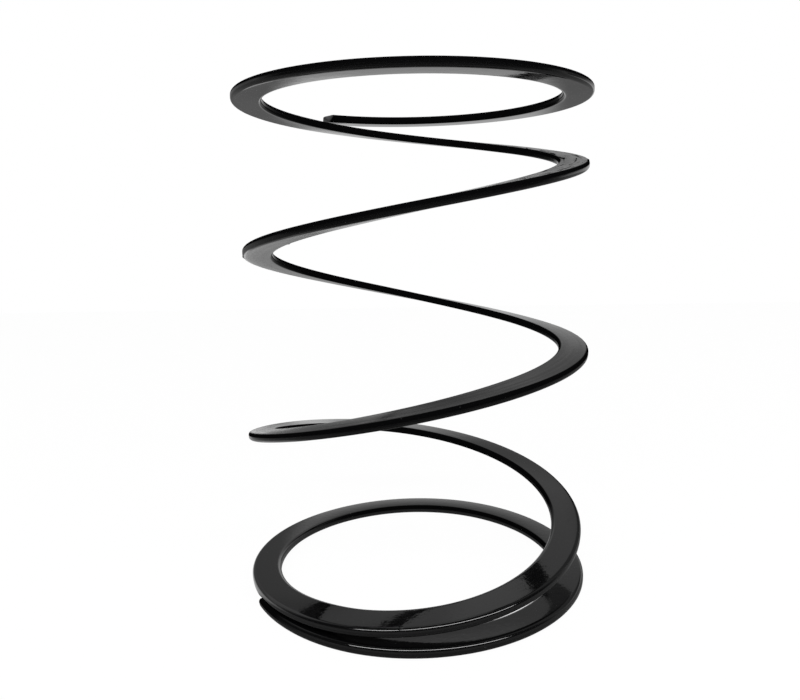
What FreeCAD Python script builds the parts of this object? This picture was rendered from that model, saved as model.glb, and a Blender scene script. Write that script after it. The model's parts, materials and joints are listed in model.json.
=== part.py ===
"""Tender spring: one flat steel wire wound on edge into an open coil with closed, unground ends.

Frame: the coil's axis is Z, the bottom coil lies flat on z = 0, and the wire climbs counter-clockwise
seen from above (a right-hand coil). Places along the wire are counted in turns from its bottom end.
"""
import FreeCAD, Part
import math
import os
from FreeCAD import Vector

# Driving dimensions, in millimetres
inside_diameter = 60.0
wire_width = 6.0
wire_thickness = 1.75
edge_radius = 0.65
largest_edge_share = 0.45
free_height = 102.2

# How the wire is wound, in turns
total_turns = 4.79
bottom_ramp_turns = 0.76
top_ramp_turns = 0.5

# Air left between each wire end and the coil that it lies against
end_gap = 0.08

# The bottom coil is wound a little wider, and the open coils draw in as they are stretched (on the radius)
bottom_spread = 0.8
active_draw_in = 0.12

# The middle coil took its set out of square: it stands higher towards one side
middle_lift = 3.4
middle_lift_direction = 270.0
middle_lift_reach = 0.75

# Where the bottom wire end points, and the bevel that the cutting tool leaves on both ends
bottom_end_angle = 206.0
end_bevel = 1.0

# Fineness of the climbing stretch: points it is drawn through in each turn, points that it is drawn on
# into the flat coils, and how closely and with how many spans in a turn its surface follows the section.
# Edges of the flat coils and of the climbing stretch that lie this close are joined as one.
spine_points_per_turn = 18
spine_lead_points = 4
surface_tolerance = 0.005
surface_angle_tolerance = 0.01
surface_degree = 3
surface_spans_per_turn = 100
joint_tolerance = 0.01

full_turn = 360.0
up = Vector(0, 0, 1)
origin = Vector(0, 0, 0)

# Height that the wire gains in its first turn, to pass over its own end
climb = wire_thickness + end_gap


def active_pitch():
    """The rise of one open turn that brings the coil to its free height."""
    open_turns = total_turns - 2 - (bottom_ramp_turns + top_ramp_turns) / 2
    ramp_share = math.sqrt(2 * climb) * (math.sqrt(bottom_ramp_turns) + math.sqrt(top_ramp_turns))
    rise = free_height - wire_thickness
    root = (math.sqrt(ramp_share ** 2 + 4 * open_turns * rise) - ramp_share) / (2 * open_turns)
    return root ** 2


pitch = active_pitch()
bottom_flat_end = 1 - math.sqrt(2 * bottom_ramp_turns * climb / pitch)
bottom_ramp_end = bottom_flat_end + bottom_ramp_turns
top_flat_start = total_turns - 1 + math.sqrt(2 * top_ramp_turns * climb / pitch)
top_ramp_start = top_flat_start - top_ramp_turns


def clamp(value, low, high):
    return max(low, min(value, high))


def ease(value, start, end):
    """Smooth step from 0 at start to 1 at end."""
    share = clamp((value - start) / (end - start), 0, 1)
    return share * share * (3 - 2 * share)


def wire_angle(turn):
    """Direction of the wire at a place along it, in degrees counter-clockwise from +X."""
    return bottom_end_angle + full_turn * turn


def wire_height(turn):
    """Height of the section's middle: flat, ramp, open turns, ramp, flat, with the middle coil's set on top."""
    ramp_in = clamp(turn - bottom_flat_end, 0, bottom_ramp_turns)
    run = clamp(turn - bottom_ramp_end, 0, top_ramp_start - bottom_ramp_end)
    ramp_out = clamp(turn - top_ramp_start, 0, top_ramp_turns)
    rise = ramp_in ** 2 / (2 * bottom_ramp_turns) + run
    rise += ramp_out - ramp_out ** 2 / (2 * top_ramp_turns)
    from_middle = clamp((turn - total_turns / 2) / middle_lift_reach, -1, 1)
    window = math.cos(math.pi / 2 * from_middle) ** 2
    swing = math.cos(math.radians(wire_angle(turn) - middle_lift_direction))
    return wire_thickness / 2 + pitch * rise + middle_lift * swing * window


def inner_radius(turn):
    """Inside radius: the bottom coil is spread, and the open coils are drawn in."""
    opened = ease(turn, bottom_flat_end, bottom_ramp_end)
    still_open = 1 - ease(turn, top_ramp_start, top_flat_start)
    spread = bottom_spread * (1 - opened)
    return inside_diameter / 2 + spread - active_draw_in * opened * still_open


def section_wire(turn):
    """The rounded flat section at a place along the wire, in the upright plane through the axis."""
    inner = inner_radius(turn)
    outer = inner + wire_width
    middle = wire_height(turn)
    low = middle - wire_thickness / 2
    high = middle + wire_thickness / 2
    edge = min(edge_radius, largest_edge_share * wire_thickness, largest_edge_share * wire_width)
    diagonal = edge * (1 - math.sqrt(0.5))

    def point(radius, height):
        return Vector(radius, 0, height)

    corners = [
        (point(outer - edge, low), point(outer - diagonal, low + diagonal), point(outer, low + edge)),
        (point(outer, high - edge), point(outer - diagonal, high - diagonal), point(outer - edge, high)),
        (point(inner + edge, high), point(inner + diagonal, high - diagonal), point(inner, high - edge)),
        (point(inner, low + edge), point(inner + diagonal, low + diagonal), point(inner + edge, low)),
    ]
    edges = []
    for index, (start, through, end) in enumerate(corners):
        next_start = corners[(index + 1) % len(corners)][0]
        edges.append(Part.Arc(start, through, end).toShape())
        edges.append(Part.LineSegment(end, next_start).toShape())
    wire = Part.Wire(edges)
    wire.rotate(origin, up, wire_angle(turn))
    return wire


def flat_coil(start, end):
    """A stretch of wire that lies flat, turned about the axis."""
    return Part.Face(section_wire(start)).revolve(origin, up, full_turn * (end - start))


def spine_point(turn):
    radius = inner_radius(turn) + wire_width / 2
    angle = math.radians(wire_angle(turn))
    return Vector(radius * math.cos(angle), radius * math.sin(angle), wire_height(turn))


def climbing_coil(start, end):
    """The open coils, swept with the section kept upright. The line that the section follows is drawn
    a few points into both flat coils and trimmed there, so that it joins them without a kink."""
    steps = math.ceil((end - start) * spine_points_per_turn)
    turns = [
        start + (end - start) * index / steps
        for index in range(-spine_lead_points, steps + spine_lead_points + 1)
    ]
    curve = Part.BSplineCurve()
    curve.interpolate(Points=[spine_point(turn) for turn in turns], Parameters=turns)
    curve.segment(start, end)
    sweep = Part.BRepOffsetAPI.MakePipeShell(Part.Wire([curve.toShape()]))
    sweep.setBiNormalMode(up)
    sweep.setTolerance(surface_tolerance, surface_tolerance, surface_angle_tolerance)
    sweep.setMaxDegree(surface_degree)
    sweep.setMaxSegments(surface_spans_per_turn * math.ceil(end - start))
    sweep.add(section_wire(start))
    sweep.build()
    sweep.makeSolid()
    return sweep.shape()


def end_wedge(turn, way_in, way_out):
    """What the cutting tool takes off a wire end: way_in is +1 where the wire runs on with the turns,
    and way_out is +1 where the bevel is on the upper side."""
    bevel = min(end_bevel, wire_thickness - edge_radius)
    margin = wire_thickness
    inner = inner_radius(turn) - margin
    face_height = wire_height(turn) + way_out * wire_thickness / 2
    apex = Vector(inner, -way_in * margin, face_height - way_out * (bevel + margin))
    far = Vector(inner, way_in * (bevel + margin), face_height + way_out * margin)
    corner = Vector(inner, -way_in * margin, face_height + way_out * margin)
    outline = Part.makePolygon([apex, far, corner, apex])
    wedge = Part.Face(outline).extrude(Vector(wire_width + 2 * margin, 0, 0))
    wedge.rotate(origin, up, wire_angle(turn))
    return wedge


def build_spring():
    bottom = flat_coil(0, bottom_flat_end).cut(end_wedge(0, 1, -1))
    top = flat_coil(top_flat_start, total_turns).cut(end_wedge(total_turns, -1, 1))
    middle = climbing_coil(bottom_flat_end, top_flat_start)
    return bottom.fuse([middle, top], joint_tolerance)


spring = build_spring()
solids = spring.Solids
print("pitch", round(pitch, 3), "flat to", round(bottom_flat_end, 3), "and from", round(top_flat_start, 3))
print("solids", len(solids), "valid", spring.isValid(), "volume", round(spring.Volume, 1), "faces", len(spring.Faces))
print("box", spring.BoundBox)
os.makedirs("parts", exist_ok=True)
solids[0].exportStep("parts/flat_wire_spring.step")
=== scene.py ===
"""A tender spring: one flat steel wire, wound on edge into an open coil and coated gloss black."""
import json
import math
from collections import namedtuple
import bmesh
import bpy
from mathutils import Matrix, Vector, noise


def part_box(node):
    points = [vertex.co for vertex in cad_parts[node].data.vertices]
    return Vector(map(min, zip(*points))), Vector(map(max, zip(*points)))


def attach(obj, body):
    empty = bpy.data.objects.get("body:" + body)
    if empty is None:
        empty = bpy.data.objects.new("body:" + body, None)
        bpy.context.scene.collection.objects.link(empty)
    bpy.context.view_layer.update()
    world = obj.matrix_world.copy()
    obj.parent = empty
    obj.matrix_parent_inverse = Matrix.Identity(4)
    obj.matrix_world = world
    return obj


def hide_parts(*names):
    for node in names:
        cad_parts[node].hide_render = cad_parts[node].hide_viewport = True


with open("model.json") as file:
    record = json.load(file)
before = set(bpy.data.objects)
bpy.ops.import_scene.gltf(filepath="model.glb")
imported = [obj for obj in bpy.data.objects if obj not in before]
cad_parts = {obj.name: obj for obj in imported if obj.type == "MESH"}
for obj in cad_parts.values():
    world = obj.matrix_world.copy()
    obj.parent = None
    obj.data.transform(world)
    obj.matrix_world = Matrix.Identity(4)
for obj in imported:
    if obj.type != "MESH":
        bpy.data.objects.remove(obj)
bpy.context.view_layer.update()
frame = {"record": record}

MM = 0.001
FULL_TURN = 2 * math.pi
UP = Vector((0, 0, 1))
SPRING_NODE = "flat_wire_spring"

# Sizes that the frame gives
spring_low, spring_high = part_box(SPRING_NODE)
mounts = {mount["name"]: mount for mount in frame["record"]["mounts"]}
free_height = spring_high.z - spring_low.z
inside_radius = mounts["upper_spigot_bore"]["dims"]["r_mm"] * MM

# The wire and the way it is wound, as in the part: lengths in metres, places along the wire in turns
wire_width = 6.0 * MM
wire_thickness = 1.75 * MM
edge_radius = 0.65 * MM
total_turns = 4.79
bottom_ramp_turns = 0.76
top_ramp_turns = 0.5
end_gap = 0.08 * MM
bottom_spread = 0.8 * MM
active_draw_in = 0.12 * MM
middle_lift = 3.4 * MM
middle_lift_direction = math.radians(270)
middle_lift_reach = 0.75
bottom_end_angle = math.radians(206)
end_bevel = 1.0 * MM

# Stretches along the wire are in turns. Two places say where something starts and where it is complete.
# Where there are four, the other two say where it starts to go back and where it is gone.

# The coat drained to the bottom coils and is thicker there, most of all above and below the wire
coat_beside = 0.12 * MM
coat_above = 0.19 * MM
coat_above_second_coil = 0.12 * MM
coat_grows = (0, 0.06)
coat_changes = (0.6, 1.0)
coat_thins = (1.3, 1.8)

# On the bottom coil this coat lifts the wire off the floor and lies on the inner side, and from here on it
# hangs under the wire and lies on both sides
coat_hangs = (1.0, 1.15)
coat_on_both_sides = (1.0, 1.2)

# The wire keeps this far inside the part's outline
outline_margin = 0.01 * MM

# The bottom coils are pressed in a little on their right
side_press = 0.4 * MM
side_press_direction = math.radians(-20)

# Where the wire stands higher or lower than the even coil, and where it stands to the right of it:
# place along the wire and reach in turns, and the shift in millimetres
height_sets = ((0.3, 0.25, 0.35), (1.27, 0.22, -0.5), (1.55, 0.25, 0.3))
side_sets = ((2.8, 0.75, 0.75), (3.42, 0.35, -0.5))

# Where the wide faces lean outwards: a stretch along the wire, and the angle in degrees
leans = (
    (1.0, 1.1, 1.25, 1.6, 6.5),
    (1.8, 1.95, 2.7, 2.9, 4.0),
    (2.45, 2.55, 2.68, 2.8, 2.0),
    (3.48, 3.58, 3.7, 3.85, -3.0),
)

# The wide faces are a little crowned and wavy under the coat, and crowned most at the bottom coil's back
crown_height = 0.012 * MM
back_crown_height = 0.05 * MM
back_crown = (0.35, 0.5, 0.75, 0.9)
wave_height = 0.012 * MM
wave_length = 9 * MM
wave_grows = (0, 0.05)

# Painted shade takes the lamp's highlight off the upper edges, but for the stretches of the bottom coils,
# where a stronger highlight is painted. Above the bottom coils the inner wall is painted nearly as dark. An
# edge is fully dark where its face has turned this far outwards or inwards, and where it lies this far up
# the flat of the wall, all as shares.
painted_highlight_edges = ((0.04, 0.1, 0.38, 0.46), (0.76, 0.86, 1.36, 1.44))
painted_highlight_gain = 1.6
inner_painted_shade = 0.97
inner_shade_turns = (1.3, 1.6)
edge_turned = 0.25
edge_raised = 0.9
inner_wall_turned = 0.4

# The coat gathered in a bead under the wire, in front of the bottom wire end
bead_height = 0.6 * MM
bead = (0.86, 0.98, 1.0, 1.012)

# Both wire ends are a little short, in turns. The top one is cut askew, so that its outer corner lies this
# far back around the coil, and the tool took more off it: its bevel's height, and its length along
# the wire.
bottom_end_trim = 0.006
top_end_trim = 0.002
end_skew = math.radians(3)
end_skew_grows = (4.72, total_turns)
top_bevel_height = 1.6 * MM
top_bevel_length = 1.3 * MM

# Nibs and chips in the coat: turn, place on the section, and size and height, in millimetres
Nib = namedtuple("Nib", "turn out up size proud")
nibs = (
    Nib(3.512, -2.5, 0.87, 0.30, 0.16),
    Nib(3.385, 2.85, 0.70, 0.36, -0.20),
    Nib(3.371, 2.85, 0.70, 0.25, 0.16),
    Nib(3.400, 2.85, 0.70, 0.25, 0.12),
    Nib(3.290, -2.6, -0.80, 0.22, 0.12),
    Nib(3.303, -2.6, -0.80, 0.24, 0.14),
    Nib(3.318, -2.6, -0.80, 0.22, 0.10),
    Nib(2.956, 2.9, -0.60, 0.30, 0.15),
    Nib(2.936, 2.9, -0.62, 0.26, -0.14),
    Nib(3.035, -2.8, -0.68, 0.26, 0.16),
    Nib(1.164, 2.8, 0.68, 0.35, 0.12),
    Nib(1.147, 0.6, 0.87, 0.22, 0.07),
)

# Fineness of the mesh. A nib reaches three of its sizes to each side, and its own rings lie within 1.8.
edge_steps = 7
face_cuts = 9
wall_cuts = 1
rings_per_turn = 230
rings_per_nib = 14
nib_reach = 3
nib_ring_reach = 1.8
smooth_angle = math.radians(35)

# What follows from these sizes
climb = wire_thickness + end_gap
open_turns = total_turns - 2 - (bottom_ramp_turns + top_ramp_turns) / 2
ramp_share = math.sqrt(2 * climb) * (math.sqrt(bottom_ramp_turns) + math.sqrt(top_ramp_turns))
rise = free_height - wire_thickness
pitch = ((math.sqrt(ramp_share ** 2 + 4 * open_turns * rise) - ramp_share) / (2 * open_turns)) ** 2
bottom_flat_end = 1 - math.sqrt(2 * bottom_ramp_turns * climb / pitch)
bottom_ramp_end = bottom_flat_end + bottom_ramp_turns
top_flat_start = total_turns - 1 + math.sqrt(2 * top_ramp_turns * climb / pitch)
top_ramp_start = top_flat_start - top_ramp_turns
middle_radius = inside_radius + wire_width / 2
half_face = wire_width / 2 - edge_radius
half_wall = wire_thickness / 2 - edge_radius

# Lengths of one turn in millimetres, along the inside and along the wire's middle
inner_turn_length = FULL_TURN * inside_radius / MM
middle_turn_length = FULL_TURN * middle_radius / MM


def clamp(value, low, high):
    return max(low, min(value, high))


def ease(value, start, end):
    """Smooth step from 0 at start to 1 at end."""
    share = clamp((value - start) / (end - start), 0, 1)
    return share * share * (3 - 2 * share)


def hump(turn, middle, reach):
    """Goes smoothly from 0 to 1 and back to 0 about a place along the wire."""
    away = clamp((turn - middle) / reach, -1, 1)
    return math.cos(math.pi / 2 * away) ** 2


def stretch(turn, start, full, leaves, end):
    """Goes smoothly from 0 to 1 and later back to 0, at four places along the wire."""
    return ease(turn, start, full) * (1 - ease(turn, leaves, end))


def set_shift(turn, sets):
    """How far the wire's sets shift it at a place along it."""
    return MM * sum(shift * hump(turn, middle, reach) for middle, reach, shift in sets)


def wire_angle(turn):
    return bottom_end_angle + FULL_TURN * turn


def lean_angle(turn):
    """How far the section leans outwards at a place along the wire."""
    return sum(math.radians(degrees) * stretch(turn, *places) for *places, degrees in leans)


def coat_share(turn):
    """How much of the thicker coat there is."""
    return ease(turn, *coat_grows) * (1 - ease(turn, *coat_thins))


def coat_build(turn):
    """How much thicker the coat is above and below the wire."""
    change = (coat_above_second_coil - coat_above) * ease(turn, *coat_changes)
    return (coat_above + change) * coat_share(turn)


def turned_out(out):
    """How far the rounded section faces outwards at a point of its outline, from -1 to 1."""
    return (out - clamp(out, -half_face, half_face)) / edge_radius


def turned_up(height):
    """How far the rounded section faces upwards at a point of its outline, from -1 to 1."""
    return (height - clamp(height, -half_wall, half_wall)) / edge_radius


def painted_highlight_mask(turn, out, height):
    """1 on the wide faces and the outer wall, less where painted shade takes the highlight off the edges,
    and more where a stronger highlight is painted.
    """
    normal_out = turned_out(out)
    upper = ease(abs(normal_out), 0, edge_turned) * ease(height, 0, edge_raised * half_wall)
    inner = inner_painted_shade * ease(-normal_out, 0, inner_wall_turned) * ease(turn, *inner_shade_turns)
    painted_highlight = sum(stretch(turn, *places) for places in painted_highlight_edges)
    return 1 - max(upper, inner) * (1 - painted_highlight * painted_highlight_gain)


def wire_height(turn):
    """Height of the section's middle: flat, ramp, open turns, ramp and flat, with the sets on top."""
    ramp_in = clamp(turn - bottom_flat_end, 0, bottom_ramp_turns)
    run = clamp(turn - bottom_ramp_end, 0, top_ramp_start - bottom_ramp_end)
    ramp_out = clamp(turn - top_ramp_start, 0, top_ramp_turns)
    risen = ramp_in ** 2 / (2 * bottom_ramp_turns) + run
    risen += ramp_out - ramp_out ** 2 / (2 * top_ramp_turns)
    swing = math.cos(wire_angle(turn) - middle_lift_direction)
    lift = middle_lift * swing * hump(turn, total_turns / 2, middle_lift_reach)
    coat_side = 1 - 2 * ease(turn, *coat_hangs)
    set_height = set_shift(turn, height_sets) + coat_side * coat_build(turn)
    return wire_thickness / 2 + pitch * risen + lift + set_height


def wire_radius(turn):
    """Radius to the section's middle: the bottom coil is spread, and the open coils are drawn in."""
    opened = ease(turn, bottom_flat_end, bottom_ramp_end)
    still_open = 1 - ease(turn, top_ramp_start, top_flat_start)
    spread = bottom_spread * (1 - opened)
    facing = max(0, math.cos(wire_angle(turn) - side_press_direction))
    press = side_press * facing * (1 - ease(turn, *coat_thins))
    inwards = coat_beside * coat_share(turn) * (1 - ease(turn, *coat_on_both_sides)) + outline_margin
    return middle_radius + spread - active_draw_in * opened * still_open - press - inwards


def nib_height(turn, out, height):
    """How far a nib lifts the coat, or a chip lowers it, at a place on the wire."""
    lifted = 0
    for nib in nibs:
        along = (turn - nib.turn) * middle_turn_length
        if abs(along) < nib_reach * nib.size:
            across = math.hypot(out / MM - nib.out, height / MM - nib.up)
            lifted += nib.proud * MM * math.exp(-(along ** 2 + across ** 2) / nib.size ** 2)
    return lifted


def place_on_coil(turn, out, height):
    """Where a point of the section comes to lie, with the coat's thickness and its unevenness."""
    normal_out = turned_out(out)
    normal_up = turned_up(height)
    skew = end_skew * (out / wire_width + 0.5) * ease(turn, *end_skew_grows)
    angle = wire_angle(turn) - skew
    outwards = Vector((math.cos(angle), math.sin(angle), 0))
    section_radius = wire_radius(turn)
    section_height = wire_height(turn)
    spot = outwards * (section_radius + out) + UP * (section_height + height)
    wave = wave_height * noise.noise(spot / wave_length) * ease(turn, *wave_grows)
    crown = crown_height + (back_crown_height - crown_height) * stretch(turn, *back_crown)
    crown *= min(1, abs(out) / half_face) ** 2 * abs(normal_up)
    proud = min(wave, 0) - crown + nib_height(turn, out, height)
    coated_out = out + normal_out * (proud + coat_beside * coat_share(turn))
    coated_up = height + normal_up * (proud + coat_build(turn))
    coated_up += min(0, normal_up) * bead_height * stretch(turn, *bead)
    lean = lean_angle(turn)
    radius = section_radius + coated_out * math.cos(lean) + coated_up * math.sin(lean)
    lifted = section_height + coated_up * math.cos(lean) - coated_out * math.sin(lean)
    return outwards * radius + UP * lifted + Vector((set_shift(turn, side_sets), 0, 0))


def clear_selection():
    bpy.ops.object.select_all(action="DESELECT")


def edit_mode(piece):
    bpy.context.view_layer.objects.active = piece
    bpy.ops.object.mode_set(mode="EDIT")


def object_mode():
    bpy.ops.object.mode_set(mode="OBJECT")


def wire_section():
    """The rounded flat section: a plane of the wire's size, with rounded corners and divided sides."""
    clear_selection()
    bpy.ops.mesh.primitive_plane_add(size=1, rotation=(math.pi / 2, 0, 0))
    section = bpy.context.active_object
    section.name = "coated_flat_wire"
    bpy.ops.object.transform_apply(location=True, rotation=True, scale=True)
    edit_mode(section)
    bpy.ops.mesh.select_all(action="SELECT")
    bpy.ops.transform.resize(value=(wire_width, 1, wire_thickness))
    bpy.ops.mesh.bevel(offset=edge_radius, segments=edge_steps, affect="VERTICES")
    bpy.ops.mesh.select_all(action="SELECT")
    bpy.ops.mesh.delete(type="ONLY_FACE")
    length_tolerance = edge_radius / 10
    for half_side, cuts in ((half_face, face_cuts), (half_wall, wall_cuts)):
        bpy.ops.mesh.select_all(action="DESELECT")
        sketch = bmesh.from_edit_mesh(section.data)
        for edge in sketch.edges:
            edge.select_set(abs(edge.calc_length() - 2 * half_side) < length_tolerance)
        bmesh.update_edit_mesh(section.data)
        bpy.ops.mesh.subdivide(number_cuts=cuts)
    object_mode()
    return section


def wind(section, rings):
    """Turns the section about the axis, ring after ring, as many times as the wire goes round."""
    bpy.context.view_layer.objects.active = section
    bpy.ops.object.modifier_add(type="SCREW")
    screw = section.modifiers[-1]
    screw.axis = "Z"
    screw.angle = total_turns * FULL_TURN
    screw.steps = rings
    screw.render_steps = rings
    screw.screw_offset = 0
    bpy.ops.object.modifier_apply(modifier=screw.name)


def ring_turns():
    """Where the rings lie along the wire: evenly, with more of them at each nib."""
    even = round(total_turns * rings_per_turn)
    length = total_turns - top_end_trim - bottom_end_trim
    turns = [bottom_end_trim + length * index / even for index in range(even + 1)]
    for nib in nibs:
        reach = nib_ring_reach * nib.size / middle_turn_length
        for index in range(rings_per_nib):
            turns.append(nib.turn + (2 * index / (rings_per_nib - 1) - 1) * reach)
    return sorted(turns)


def flat_spring_wire():
    """Winds the section and lays each ring on the coil. The mesh keeps each point's place along the wire
    and across it in millimetres, and its painted highlight and shade."""
    section = wire_section()
    profile = [(vertex.co.x, vertex.co.z) for vertex in section.data.vertices]
    turns = ring_turns()
    wind(section, len(turns) - 1)
    along = section.data.attributes.new("along", "FLOAT", "POINT")
    across = section.data.attributes.new("across", "FLOAT", "POINT")
    highlight_paint = section.data.attributes.new("highlight_paint", "FLOAT", "POINT")
    for index, vertex in enumerate(section.data.vertices):
        ring, place = divmod(index, len(profile))
        turn = turns[ring]
        out, height = profile[place]
        vertex.co = place_on_coil(turn, out, height)
        along.data[index].value = turn * inner_turn_length
        across.data[index].value = out / MM
        # Painted highlight and shade on the edges, carried by the coat's specular level
        highlight_paint.data[index].value = painted_highlight_mask(turn, out, height)
    return section, len(profile)


def close_end(wire, indices):
    """Fills one end of the wire with a face."""
    edit_mode(wire)
    bpy.ops.mesh.select_mode(type="VERT")
    bpy.ops.mesh.select_all(action="DESELECT")
    object_mode()
    for index in indices:
        wire.data.vertices[index].select = True
    edit_mode(wire)
    bpy.ops.mesh.edge_face_add()
    object_mode()


def bevel_end(wire, turn, way_in, way_out, bevel_height, bevel_length):
    """Takes the cutting tool's bevel off a wire end: way_in is +1 where the wire runs on with the turns,
    and way_out is +1 where the bevel is on the upper side. Only faces of this wire end are cut, and not
    those of the coil that it lies against."""
    angle = wire_angle(turn)
    out = Vector((math.cos(angle), math.sin(angle), 0))
    along = Vector((-math.sin(angle), math.cos(angle), 0))
    face_height = wire_height(turn) + way_out * wire_thickness / 2
    corner = out * wire_radius(turn) + UP * (face_height - way_out * bevel_height)
    reach = 2 * bevel_length
    end_turns = 0.1
    edit_mode(wire)
    bpy.ops.mesh.select_mode(type="FACE")
    bpy.ops.mesh.select_all(action="DESELECT")
    shape = bmesh.from_edit_mesh(wire.data)
    along_wire = shape.verts.layers.float["along"]
    for face in shape.faces:
        away = face.calc_center_median() - corner
        face_turn = face.verts[0][along_wire] / inner_turn_length
        on_this_end = abs(face_turn - turn) < end_turns
        if on_this_end and abs(away.dot(along)) < reach and away.length < wire_width:
            face.select_set(True)
    bmesh.update_edit_mesh(wire.data)
    normal = (UP * way_out * bevel_length - along * way_in * bevel_height).normalized()
    bpy.ops.mesh.bisect(plane_co=corner, plane_no=normal, use_fill=True, clear_outer=True)
    object_mode()


def finish_wire(wire, count):
    """Closes and bevels both ends, and shades the wire smooth."""
    last = len(wire.data.vertices)
    close_end(wire, range(count))
    close_end(wire, range(last - count, last))
    bevel_end(wire, bottom_end_trim, 1, -1, end_bevel, end_bevel)
    bevel_end(wire, total_turns - top_end_trim, -1, 1, top_bevel_height, top_bevel_length)
    edit_mode(wire)
    bpy.ops.mesh.select_mode(type="VERT")
    bpy.ops.mesh.select_all(action="SELECT")
    bpy.ops.mesh.normals_make_consistent(inside=False)
    object_mode()
    clear_selection()
    wire.select_set(True)
    bpy.context.view_layer.objects.active = wire
    bpy.ops.object.shade_smooth_by_angle(angle=smooth_angle)


def node(tree, kind, **settings):
    made = tree.nodes.new(kind)
    for name, value in settings.items():
        setattr(made, name, value)
    return made


def feed(tree, socket, value):
    """Sets a socket to a number, or links another node's output to it."""
    if isinstance(value, (int, float)):
        socket.default_value = value
    else:
        tree.links.new(value, socket)


def math_node(tree, operation, first, second):
    """A sum, product or other operation on two values, each a number or another node's output."""
    made = node(tree, "ShaderNodeMath", operation=operation)
    feed(tree, made.inputs[0], first)
    feed(tree, made.inputs[1], second)
    return made.outputs[0]


def plus(tree, first, second):
    return math_node(tree, "ADD", first, second)


def minus(tree, first, second):
    return math_node(tree, "SUBTRACT", first, second)


def times(tree, first, second):
    return math_node(tree, "MULTIPLY", first, second)


def step_node(tree, value, start, end, low=0.0, high=1.0):
    """Goes smoothly from low where the value is start to high where it is end."""
    made = node(tree, "ShaderNodeMapRange", interpolation_type="SMOOTHSTEP")
    tree.links.new(value, made.inputs["Value"])
    made.inputs["From Min"].default_value = start
    made.inputs["From Max"].default_value = end
    made.inputs["To Min"].default_value = low
    made.inputs["To Max"].default_value = high
    return made.outputs["Result"]


def band_node(tree, value, start, full, leaves, end):
    """Goes smoothly from 0 to 1 and later back to 0, at four values."""
    return times(tree, step_node(tree, value, start, full), step_node(tree, value, end, leaves))


def noise_node(tree, place, scale, detail, roughness):
    made = node(tree, "ShaderNodeTexNoise")
    tree.links.new(place, made.inputs["Vector"])
    made.inputs["Scale"].default_value = scale
    made.inputs["Detail"].default_value = detail
    made.inputs["Roughness"].default_value = roughness
    return made.outputs[0]


def flat_place(tree, first, second):
    """A place in a flat pattern."""
    made = node(tree, "ShaderNodeCombineXYZ")
    tree.links.new(first, made.inputs[0])
    tree.links.new(second, made.inputs[1])
    return made.outputs[0]


def attribute_node(tree, name):
    return node(tree, "ShaderNodeAttribute", attribute_name=name).outputs["Fac"]


# The coat: its colours, and its gloss where it is whole
black = (0.0025, 0.0025, 0.0027, 1)
dust_grey = (0.05, 0.05, 0.05, 1)
coat_ior = 1.5
whole_gloss = 0.5

# Noises in the coat: how fine, how many layers, and how strong the finer layers are
peel_noise = (900.0, 2.0, 0.5)
patch_noise = (160.0, 4.0, 0.65)
grain_noise = (5200.0, 1.0, 0.5)
line_noise = (1.0, 3.0, 0.6)
scuff_noise = (1.0, 4.0, 0.6)
streak_noise = (1.0, 2.0, 0.6)
dust_scale = 480.0

# How far the drawn-out noises go on for each millimetre along the wire and across it
line_draw = (0.12, 2.4)
scuff_draw = (0.22, 1.1)
streak_draw = (0.035, 0.9)

# Where along the wire, in millimetres, the open coils lie, and where they are scuffed and dim
open_stretch = (270.0, 360.0, 700.0, 740.0)
scuffed_stretch = (590.0, 620.0, 660.0, 690.0)
dim_stretch = (385.0, 400.0, 415.0, 440.0)

# From which value to which a pattern shows as dust, a dull patch, a line, a scuff or a streak, and how far
# from the middle of the wide face, in millimetres, the scuffs end
dust_edge = (0.07, 0.045)
dusty_patches = (0.52, 0.6)
dull_patches = (0.42, 0.68)
clear_lines = (0.4, 0.75)
scuff_edge = (0.45, 0.6)
scuffs_end = (2.8, 2.3)
streak_edge = (0.36, 0.64)

# Roughness of the whole coat, and what the open coils, dull patches, lines and dust add to it
least_roughness = 0.05
open_roughness = 0.08
dull_roughness = 0.05
line_roughness = 0.05
dust_roughness = 0.4

# Shares of the gloss that scuffs and the dim stretch take, and how far streaks change it, down and up
scuff_loss = 0.96
dim_loss = 0.35
streak_change = (-0.4, 0.15)

# Height of the peel, and the heights of the lines, of what the open coils add to them, and of the grain and
# dust, as shares of it
peel_height = 0.012 * MM
line_share = 0.12
open_line_share = 0.6
grain_share = 0.05
dust_share = 0.6


def drawn_noise(tree, along, across, draw, settings):
    """A noise that is drawn out along the wire."""
    along_share, across_share = draw
    place = flat_place(tree, times(tree, along, along_share), times(tree, across, across_share))
    return noise_node(tree, place, *settings)


def dust_specks(tree, place, patches):
    """Specks of dust, which lie only in some patches."""
    cells = node(tree, "ShaderNodeTexVoronoi", feature="F1")
    tree.links.new(place, cells.inputs["Vector"])
    cells.inputs["Scale"].default_value = dust_scale
    specks = step_node(tree, cells.outputs["Distance"], *dust_edge)
    return times(tree, specks, step_node(tree, patches, *dusty_patches))


def coat_roughness(tree, patches, lines, open_coils, dusty):
    dull = step_node(tree, patches, *dull_patches, 0.0, dull_roughness)
    lined = step_node(tree, lines, *clear_lines, 0.0, line_roughness)
    upper = plus(tree, times(tree, open_coils, open_roughness), least_roughness)
    rough = plus(tree, plus(tree, dull, lined), upper)
    return plus(tree, rough, times(tree, dusty, dust_roughness))


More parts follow.
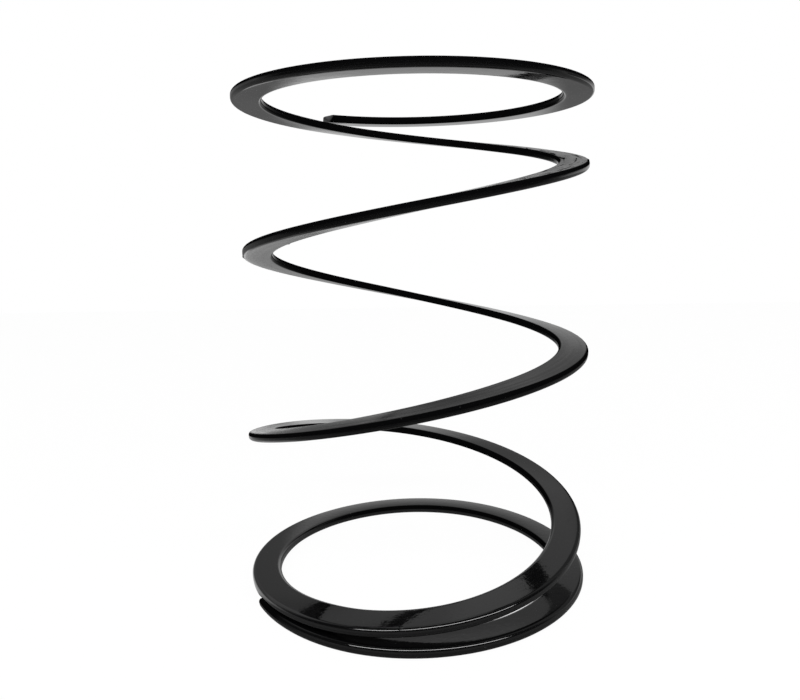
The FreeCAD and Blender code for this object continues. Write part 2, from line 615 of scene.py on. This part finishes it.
def gloss_and_painted_highlight(tree, along, across, open_coils):
    """The gloss of the edges and faces, with their painted highlight and shade, less what the scuffs,
    streaks and dim stretch take.
    """
    scuffs = step_node(tree, drawn_noise(tree, along, across, scuff_draw, scuff_noise), *scuff_edge)
    on_face = step_node(tree, math_node(tree, "ABSOLUTE", across, 0.0), *scuffs_end)
    worn = times(tree, band_node(tree, along, *scuffed_stretch), on_face)
    matt = times(tree, times(tree, worn, scuffs), scuff_loss)
    streak = drawn_noise(tree, along, across, streak_draw, streak_noise)
    streaks = times(tree, open_coils, step_node(tree, streak, *streak_edge, *streak_change))
    dim = times(tree, band_node(tree, along, *dim_stretch), -dim_loss)
    kept = minus(tree, plus(tree, plus(tree, streaks, dim), 1.0), matt)
    return times(tree, times(tree, attribute_node(tree, "highlight_paint"), kept), whole_gloss)


def coat_unevenness(tree, place, lines, open_coils, dusty):
    """Orange peel with lines, grain and dust, as a bent normal."""
    peel = noise_node(tree, place, *peel_noise)
    grain = noise_node(tree, place, *grain_noise)
    lines_here = plus(tree, times(tree, open_coils, open_line_share), line_share)
    uneven = plus(tree, peel, times(tree, lines, lines_here))
    uneven = plus(tree, uneven, times(tree, grain, grain_share))
    uneven = plus(tree, uneven, times(tree, dusty, dust_share))
    bent = node(tree, "ShaderNodeBump")
    bent.inputs["Strength"].default_value = 1.0
    bent.inputs["Distance"].default_value = peel_height
    tree.links.new(uneven, bent.inputs["Height"])
    return bent.outputs["Normal"]


def black_coat():
    """Gloss black coat over drawn wire: orange peel, lines, dull patches, scuffs, streaks and dust."""
    material = bpy.data.materials.new("gloss_black_coat")
    material.use_nodes = True
    tree = material.node_tree
    shader = tree.nodes["Principled BSDF"]
    shader.inputs["IOR"].default_value = coat_ior
    place = node(tree, "ShaderNodeTexCoord").outputs["Object"]
    along = attribute_node(tree, "along")
    across = attribute_node(tree, "across")
    lines = drawn_noise(tree, along, across, line_draw, line_noise)
    patches = noise_node(tree, place, *patch_noise)
    dusty = dust_specks(tree, place, patches)
    open_coils = band_node(tree, along, *open_stretch)
    colours = node(tree, "ShaderNodeMix", data_type="RGBA")
    tree.links.new(dusty, colours.inputs["Factor"])
    colours.inputs["A"].default_value = black
    colours.inputs["B"].default_value = dust_grey
    tree.links.new(colours.outputs["Result"], shader.inputs["Base Color"])
    rough = coat_roughness(tree, patches, lines, open_coils, dusty)
    tree.links.new(rough, shader.inputs["Roughness"])
    # The specular level carries the painted highlight and shade on the edges, with the scuffs, streaks and
    # dim stretch
    tree.links.new(gloss_and_painted_highlight(tree, along, across, open_coils), shader.inputs["Specular IOR Level"])
    uneven = coat_unevenness(tree, place, lines, open_coils, dusty)
    tree.links.new(uneven, shader.inputs["Normal"])
    return material


# The stage. The floor lets this share of its real shading through to the camera, for the shadow, and is a
# little over white in the rest to make up for it.
WHITE = (1, 1, 1, 1)
PAPER = (0.8, 0.8, 0.8, 1)
floor_width = 4
wall_height = 2
wall_distance = 0.52
floor_shadow_share = 0.06
floor_white = 1.03

# The floor as the coat mirrors it glows with painted light: places in metres to the right (across) and to
# the back (depth), and the brightness there. It has a painted shadow under the spring, and painted shade in
# front of it.
sheet_across = (-0.11, -0.085, 0.08, 0.12)
near_back_depth = (-0.03, 0.1)
near_back_light = 0.26
far_back_depth = (0.25, 0.42)
far_back_light = 0.14
left_patch_across = (-0.09, -0.07, -0.037, -0.033)
left_patch_depth = (-0.03, -0.015, 0.02, 0.04)
left_patch_light = 0.6
loop_patch_across = (-0.14, -0.125, -0.095, -0.082)
loop_patch_depth = (0.1, 0.13, 0.3, 0.34)
loop_patch_light = 0.8
under_reach = (0.03, 0.09)
under_light = 0.18
beside_light = 0.24
front_depth = (-0.12, -0.07)
front_share = 0.4

# The wall as the coat mirrors it glows with painted light and shade: places in metres to the right (across)
# and up, and the brightness there
low_sheet_across = (-0.13, -0.09, 0.1, 0.14)
low_sheet_ends_up = (0.27, 0.12)
low_left_across = (-0.07, -0.04)
low_left_light = 0.95
low_middle_light = 0.7
low_white_up = (0.07, 0.12)
low_white_light = 0.95
low_side_light = 0.2
low_right_across = (0.0, 0.06)
low_right_up = (0.04, 0.1)
low_right_light = 0.5
high_up = (0.3, 0.45)
high_lights = (0.33, 0.56)
high_left_across = (-0.2, -0.08)
high_left_share = 0.8
high_right_across = (0.2, 0.3)
high_right_share = 0.3
high_middle_across = (-0.06, 0.0, 0.08, 0.13)
high_middle_up = (0.31, 0.38)
high_middle_light = 0.17

# A long strip lamp behind the camera and above it: places and sizes in metres, and its face's brightness
strip_place = (0.12, -0.42, 0.42)
strip_target = (0.12, 0, 0.03)
strip_width = 1.1
strip_height = 0.1
strip_brightness = 9.0

# The world's even light, and the room as the coat mirrors it, from dark in front to lighter at the back
even_light = 0.3
room_back = (-0.2, 0.5)
room_lights = (0.03, 0.4)


def light_node(tree, kind, strength):
    """A white emission or background of a strength that is a number or another node's output."""
    made = node(tree, kind)
    made.inputs["Color"].default_value = WHITE
    feed(tree, made.inputs["Strength"], strength)
    return made


def mix_by_ray(tree, ray, others, these):
    """One shader for rays of one kind, and another for all others."""
    made = node(tree, "ShaderNodeMixShader")
    tree.links.new(node(tree, "ShaderNodeLightPath").outputs[ray], made.inputs[0])
    tree.links.new(others.outputs[0], made.inputs[1])
    tree.links.new(these.outputs[0], made.inputs[2])
    return made


def stage_material(name, shadow_share, paper_white, brightness):
    """White to the camera, with a share of the real shading, so that the shadow stays. In reflections the
    surface glows with the painted light and shade that the given function says, from its place in metres."""
    material = bpy.data.materials.new(name)
    material.use_nodes = True
    tree = material.node_tree
    tree.nodes.clear()
    paper = node(tree, "ShaderNodeBsdfDiffuse")
    paper.inputs["Color"].default_value = PAPER
    white = light_node(tree, "ShaderNodeEmission", paper_white)
    place = node(tree, "ShaderNodeSeparateXYZ")
    tree.links.new(node(tree, "ShaderNodeTexCoord").outputs["Object"], place.inputs[0])
    mirrored = light_node(tree, "ShaderNodeEmission", brightness(tree, place.outputs))
    seen = node(tree, "ShaderNodeMixShader")
    seen.inputs[0].default_value = 1 - shadow_share
    tree.links.new(paper.outputs[0], seen.inputs[1])
    tree.links.new(white.outputs[0], seen.inputs[2])
    unseen = mix_by_ray(tree, "Is Glossy Ray", paper, mirrored)
    whole = mix_by_ray(tree, "Is Camera Ray", unseen, seen)
    output = node(tree, "ShaderNodeOutputMaterial")
    tree.links.new(whole.outputs[0], output.inputs["Surface"])
    return material


def floor_brightness(tree, place):
    """A pale sheet with painted light behind the spring, and painted shade beside it, in front of it and
    under it.
    """
    x = place["X"]
    y = place["Y"]
    near_back = step_node(tree, y, *near_back_depth, 0.0, near_back_light)
    far_back = step_node(tree, y, *far_back_depth, 0.0, far_back_light)
    lit = times(tree, band_node(tree, x, *sheet_across), plus(tree, near_back, far_back))
    for patch_across, patch_depth, light in (
        (left_patch_across, left_patch_depth, left_patch_light),
        (loop_patch_across, loop_patch_depth, loop_patch_light),
    ):
        patch = times(tree, band_node(tree, x, *patch_across), band_node(tree, y, *patch_depth))
        lit = plus(tree, lit, times(tree, patch, light))
    away = node(tree, "ShaderNodeVectorMath", operation="LENGTH")
    tree.links.new(flat_place(tree, x, y), away.inputs[0])
    # Painted shadow under the spring, and painted shade in front of it
    near = step_node(tree, away.outputs["Value"], *under_reach, under_light, beside_light)
    front = step_node(tree, y, *front_depth, front_share, 1.0)
    return plus(tree, lit, times(tree, near, front))


def wall_brightness(tree, place):
    """Painted light and shade on the sheet where it goes up behind the spring: white low down in the middle
    and dim at both sides of that, then dimmer, and lighter again high up."""
    x = place["X"]
    z = place["Z"]
    to_the_right = step_node(tree, x, *low_right_across)
    right = times(tree, to_the_right, step_node(tree, z, *low_right_up, 0.0, low_right_light))
    sides = plus(tree, right, low_side_light)
    left_white = step_node(tree, x, *low_left_across, low_left_light, low_middle_light)
    upper_white = step_node(tree, z, *low_white_up, 0.0, low_white_light)
    middle = minus(tree, math_node(tree, "MAXIMUM", left_white, upper_white), sides)
    low = plus(tree, times(tree, band_node(tree, x, *low_sheet_across), middle), sides)
    high_left = step_node(tree, x, *high_left_across, high_left_share, 1.0)
    high_right = step_node(tree, x, *high_right_across, 1.0, high_right_share)
    wide = times(tree, step_node(tree, z, *high_up, *high_lights), times(tree, high_left, high_right))
    raised = step_node(tree, z, *high_middle_up, 0.0, high_middle_light)
    high = plus(tree, wide, times(tree, band_node(tree, x, *high_middle_across), raised))
    low_share = step_node(tree, z, *low_sheet_ends_up)
    high_share = minus(tree, 1.0, low_share)
    return plus(tree, times(tree, low, low_share), times(tree, high, high_share))


def sheet(name, width, height, place, turned, material):
    """A flat stage sheet from a plane, moved to its place."""
    clear_selection()
    bpy.ops.mesh.primitive_plane_add(size=1, location=place, rotation=turned)
    made = bpy.context.active_object
    made.name = name
    made.scale = (width, height, 1)
    bpy.ops.object.transform_apply(location=True, rotation=True, scale=True)
    made.data.materials.append(material)


def floor():
    material = stage_material("pale_floor", floor_shadow_share, floor_white, floor_brightness)
    sheet("pale_floor", floor_width, floor_width, (0, 0, spring_low.z), (0, 0, 0), material)


def wall():
    material = stage_material("pale_wall", 0, 1, wall_brightness)
    place = (0, wall_distance, wall_height / 2 + spring_low.z)
    sheet("pale_wall", floor_width, wall_height, place, (math.pi / 2, 0, 0), material)


def strip_lamp():
    """A lamp with a plain face, turned towards the spring. Its power follows from its face's brightness."""
    bpy.ops.object.light_add(type="AREA", location=strip_place)
    lamp = bpy.context.active_object
    lamp.name = "front_strip"
    lamp.data.shape = "RECTANGLE"
    lamp.data.size = strip_width
    lamp.data.size_y = strip_height
    lamp.data.energy = strip_brightness * math.pi * strip_width * strip_height
    towards = Vector(strip_target) - Vector(strip_place)
    lamp.rotation_euler = towards.to_track_quat("-Z", "Y").to_euler()
    lamp.visible_camera = False


def surroundings():
    """White to the camera, a dim room in reflections, and even light on the spring."""
    world = bpy.data.worlds.new("studio")
    bpy.context.scene.world = world
    world.use_nodes = True
    tree = world.node_tree
    tree.nodes.clear()
    white = light_node(tree, "ShaderNodeBackground", 1.0)
    even = light_node(tree, "ShaderNodeBackground", even_light)
    way = node(tree, "ShaderNodeSeparateXYZ")
    tree.links.new(node(tree, "ShaderNodeTexCoord").outputs["Generated"], way.inputs[0])
    room_light = step_node(tree, way.outputs[1], *room_back, *room_lights)
    room = light_node(tree, "ShaderNodeBackground", room_light)
    unseen = mix_by_ray(tree, "Is Glossy Ray", even, room)
    whole = mix_by_ray(tree, "Is Camera Ray", unseen, white)
    output = node(tree, "ShaderNodeOutputWorld")
    tree.links.new(whole.outputs[0], output.inputs["Surface"])


# The photograph's camera: places and what it sees in metres, its focal length in pixels and its sensor in
# millimetres
camera_distance = 154.577 * MM
camera_height = 76.520 * MM
camera_pitch = math.radians(9.819)
camera_yaw = math.radians(-1.177)
camera_roll = math.radians(-0.956)
image_width = 800
focal_pixels = 728.824
sensor_width = 36
nearest_seen = 1 * MM
farthest_seen = 20


def camera():
    lens = bpy.data.cameras.new("camera")
    lens.sensor_width = sensor_width
    lens.lens = focal_pixels * sensor_width / image_width
    lens.clip_start = nearest_seen
    lens.clip_end = farthest_seen
    viewer = bpy.data.objects.new("camera", lens)
    bpy.context.collection.objects.link(viewer)
    flat = math.cos(camera_pitch)
    ahead = Vector((math.sin(camera_yaw) * flat, math.cos(camera_yaw) * flat, -math.sin(camera_pitch)))
    level_right = ahead.cross(UP).normalized()
    level_up = level_right.cross(ahead)
    right = level_right * math.cos(camera_roll) + level_up * math.sin(camera_roll)
    top = level_up * math.cos(camera_roll) - level_right * math.sin(camera_roll)
    turn = Matrix((right, top, -ahead)).transposed()
    viewer.rotation_euler = turn.to_euler()
    viewer.location = (0, -camera_distance, camera_height)
    bpy.context.scene.camera = viewer


wire, section_count = flat_spring_wire()
finish_wire(wire, section_count)
wire.data.materials.append(black_coat())
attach(wire, "root")
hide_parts(SPRING_NODE)

floor()
wall()
strip_lamp()
surroundings()
camera()
bpy.context.scene.view_settings.view_transform = "Standard"
